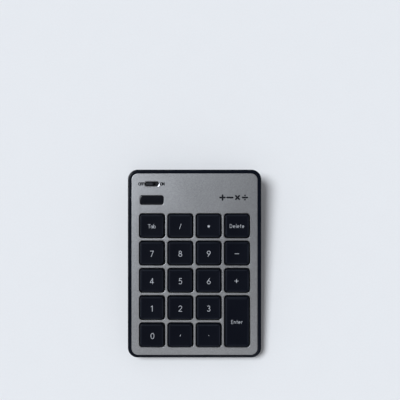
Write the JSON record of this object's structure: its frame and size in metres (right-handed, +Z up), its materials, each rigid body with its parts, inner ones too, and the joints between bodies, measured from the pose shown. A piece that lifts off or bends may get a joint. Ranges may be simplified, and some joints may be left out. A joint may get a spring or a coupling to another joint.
{
  "type": "numeric keypad",
  "caption": "Slim wireless numeric keypad with low scissor keys under a silver plate in a black wedge-shaped case.",
  "frame": {"origin": "on the desk under the middle of the keypad", "axes": "+Z up, +Y towards the rear edge with the power switch, +X to the user's right"},
  "size_m": [0.0896, 0.126, 0.0177],
  "materials": {
    "silver_paint": "fine metallic silver paint, satin",
    "key_plastic": "fine moulded texture, matte",
    "case_plastic": "glossy black, faintly blue",
    "black_plastic": "satin black",
    "smoked_window": "polished smoked lens",
    "led_white": "clear LED package",
    "lever_plastic": "black moulded plastic",
    "board_fibre": "green solder mask",
    "membrane_film": "smoked polyester film",
    "dome_silicone": "dark grey silicone",
    "foot_rubber": "soft matte rubber",
    "button_plastic": "satin dark grey",
    "cell_jacket": "printed cell jacket",
    "support_steel": "pressed zinc-plated sheet",
    "contact_steel": "nickel-plated spring steel",
    "screw_steel": "blackened steel",
    "legend_print": "light grey print",
    "label_print": "dark print"
  },
  "bodies": {
    "root": {"battery_front": "cell_jacket", "battery_rear": "cell_jacket", "bottom_case": "case_plastic", "contact_bridge": "contact_steel", "contact_negative": "contact_steel", "contact_positive": "contact_steel", "dome_sheet": "dome_silicone", "front_foot": "foot_rubber", "led_window": "smoked_window", "main_board": "board_fibre", "membrane": "membrane_film", "rear_foot_left": "foot_rubber", "scissor_0": "lever_plastic", "scissor_1": "lever_plastic", "scissor_2": "lever_plastic", "scissor_3": "lever_plastic", "scissor_4": "lever_plastic", "scissor_5": "lever_plastic", "scissor_6": "lever_plastic", "scissor_7": "lever_plastic", "scissor_8": "lever_plastic", "scissor_9": "lever_plastic", "scissor_asterisk": "lever_plastic", "scissor_comma": "lever_plastic", "scissor_delete": "lever_plastic", "scissor_enter": "lever_plastic", "scissor_minus": "lever_plastic", "scissor_plus": "lever_plastic", "scissor_point": "lever_plastic", "scissor_slash": "lever_plastic", "scissor_tab": "lever_plastic", "screw_left": "screw_steel", "screw_right": "screw_steel", "status_led": "led_white", "support_plate": "support_steel", "switch_housing": "black_plastic", "top_cover": "silver_paint"},
    "key_tab": {"key_tab": "key_plastic"},
    "key_slash": {"key_slash": "key_plastic"},
    "key_asterisk": {"key_asterisk": "key_plastic"},
    "key_delete": {"key_delete": "key_plastic"},
    "key_7": {"key_7": "key_plastic"},
    "key_8": {"key_8": "key_plastic"},
    "key_9": {"key_9": "key_plastic"},
    "key_minus": {"key_minus": "key_plastic"},
    "key_4": {"key_4": "key_plastic"},
    "key_5": {"key_5": "key_plastic"},
    "key_6": {"key_6": "key_plastic"},
    "key_plus": {"key_plus": "key_plastic"},
    "key_1": {"key_1": "key_plastic"},
    "key_2": {"key_2": "key_plastic"},
    "key_3": {"key_3": "key_plastic"},
    "key_enter": {"key_enter": "key_plastic"},
    "key_0": {"key_0": "key_plastic"},
    "key_comma": {"key_comma": "key_plastic"},
    "key_point": {"key_point": "key_plastic"},
    "power_switch": {"power_switch": "black_plastic"},
    "battery_cover": {"battery_cover": "case_plastic", "rear_foot_right": "foot_rubber"},
    "pairing_button": {"pairing_button": "button_plastic"}
  },
  "joints": [
    {"name": "press_tab", "type": "slide", "parent": "root", "child": "key_tab", "axis": [0, 0.0872, -0.9962], "range_m": [0, 0.002], "stiffness_N_per_m": 200, "springref_m": -0.0005, "deforming": ["scissor_tab", "dome_sheet"]},
    {"name": "press_slash", "type": "slide", "parent": "root", "child": "key_slash", "axis": [0, 0.0872, -0.9962], "range_m": [0, 0.002], "stiffness_N_per_m": 200, "springref_m": -0.0005, "deforming": ["scissor_slash", "dome_sheet"]},
    {"name": "press_asterisk", "type": "slide", "parent": "root", "child": "key_asterisk", "axis": [0, 0.0872, -0.9962], "range_m": [0, 0.002], "stiffness_N_per_m": 200, "springref_m": -0.0005, "deforming": ["scissor_asterisk", "dome_sheet"]},
    {"name": "press_delete", "type": "slide", "parent": "root", "child": "key_delete", "axis": [0, 0.0872, -0.9962], "range_m": [0, 0.002], "stiffness_N_per_m": 200, "springref_m": -0.0005, "deforming": ["scissor_delete", "dome_sheet"]},
    {"name": "press_7", "type": "slide", "parent": "root", "child": "key_7", "axis": [0, 0.0872, -0.9962], "range_m": [0, 0.002], "stiffness_N_per_m": 200, "springref_m": -0.0005, "deforming": ["scissor_7", "dome_sheet"]},
    {"name": "press_8", "type": "slide", "parent": "root", "child": "key_8", "axis": [0, 0.0872, -0.9962], "range_m": [0, 0.002], "stiffness_N_per_m": 200, "springref_m": -0.0005, "deforming": ["scissor_8", "dome_sheet"]},
    {"name": "press_9", "type": "slide", "parent": "root", "child": "key_9", "axis": [0, 0.0872, -0.9962], "range_m": [0, 0.002], "stiffness_N_per_m": 200, "springref_m": -0.0005, "deforming": ["scissor_9", "dome_sheet"]},
    {"name": "press_minus", "type": "slide", "parent": "root", "child": "key_minus", "axis": [0, 0.0872, -0.9962], "range_m": [0, 0.002], "stiffness_N_per_m": 200, "springref_m": -0.0005, "deforming": ["scissor_minus", "dome_sheet"]},
    {"name": "press_4", "type": "slide", "parent": "root", "child": "key_4", "axis": [0, 0.0872, -0.9962], "range_m": [0, 0.002], "stiffness_N_per_m": 200, "springref_m": -0.0005, "deforming": ["scissor_4", "dome_sheet"]},
    {"name": "press_5", "type": "slide", "parent": "root", "child": "key_5", "axis": [0, 0.0872, -0.9962], "range_m": [0, 0.002], "stiffness_N_per_m": 200, "springref_m": -0.0005, "deforming": ["scissor_5", "dome_sheet"]},
    {"name": "press_6", "type": "slide", "parent": "root", "child": "key_6", "axis": [0, 0.0872, -0.9962], "range_m": [0, 0.002], "stiffness_N_per_m": 200, "springref_m": -0.0005, "deforming": ["scissor_6", "dome_sheet"]},
    {"name": "press_plus", "type": "slide", "parent": "root", "child": "key_plus", "axis": [0, 0.0872, -0.9962], "range_m": [0, 0.002], "stiffness_N_per_m": 200, "springref_m": -0.0005, "deforming": ["scissor_plus", "dome_sheet"]},
    {"name": "press_1", "type": "slide", "parent": "root", "child": "key_1", "axis": [0, 0.0872, -0.9962], "range_m": [0, 0.002], "stiffness_N_per_m": 200, "springref_m": -0.0005, "deforming": ["scissor_1", "dome_sheet"]},
    {"name": "press_2", "type": "slide", "parent": "root", "child": "key_2", "axis": [0, 0.0872, -0.9962], "range_m": [0, 0.002], "stiffness_N_per_m": 200, "springref_m": -0.0005, "deforming": ["scissor_2", "dome_sheet"]},
    {"name": "press_3", "type": "slide", "parent": "root", "child": "key_3", "axis": [0, 0.0872, -0.9962], "range_m": [0, 0.002], "stiffness_N_per_m": 200, "springref_m": -0.0005, "deforming": ["scissor_3", "dome_sheet"]},
    {"name": "press_enter", "type": "slide", "parent": "root", "child": "key_enter", "axis": [0, 0.0872, -0.9962], "range_m": [0, 0.002], "stiffness_N_per_m": 200, "springref_m": -0.0005, "deforming": ["scissor_enter", "dome_sheet"]},
    {"name": "press_0", "type": "slide", "parent": "root", "child": "key_0", "axis": [0, 0.0872, -0.9962], "range_m": [0, 0.002], "stiffness_N_per_m": 200, "springref_m": -0.0005, "deforming": ["scissor_0", "dome_sheet"]},
    {"name": "press_comma", "type": "slide", "parent": "root", "child": "key_comma", "axis": [0, 0.0872, -0.9962], "range_m": [0, 0.002], "stiffness_N_per_m": 200, "springref_m": -0.0005, "deforming": ["scissor_comma", "dome_sheet"]},
    {"name": "press_point", "type": "slide", "parent": "root", "child": "key_point", "axis": [0, 0.0872, -0.9962], "range_m": [0, 0.002], "stiffness_N_per_m": 200, "springref_m": -0.0005, "deforming": ["scissor_point", "dome_sheet"]},
    {"name": "slide_power_switch", "type": "slide", "parent": "root", "child": "power_switch", "axis": [1, 0, 0], "range_m": [0, 0.003]},
    {"name": "slide_battery_cover", "type": "slide", "parent": "root", "child": "battery_cover", "axis": [1, 0, 0], "range_m": [0, 0.048]},
    {"name": "press_pairing_button", "type": "slide", "parent": "root", "child": "pairing_button", "axis": [0, 0, 1], "range_m": [0, 0.0004], "stiffness_N_per_m": 500, "springref_m": -0.0004}
  ]
}
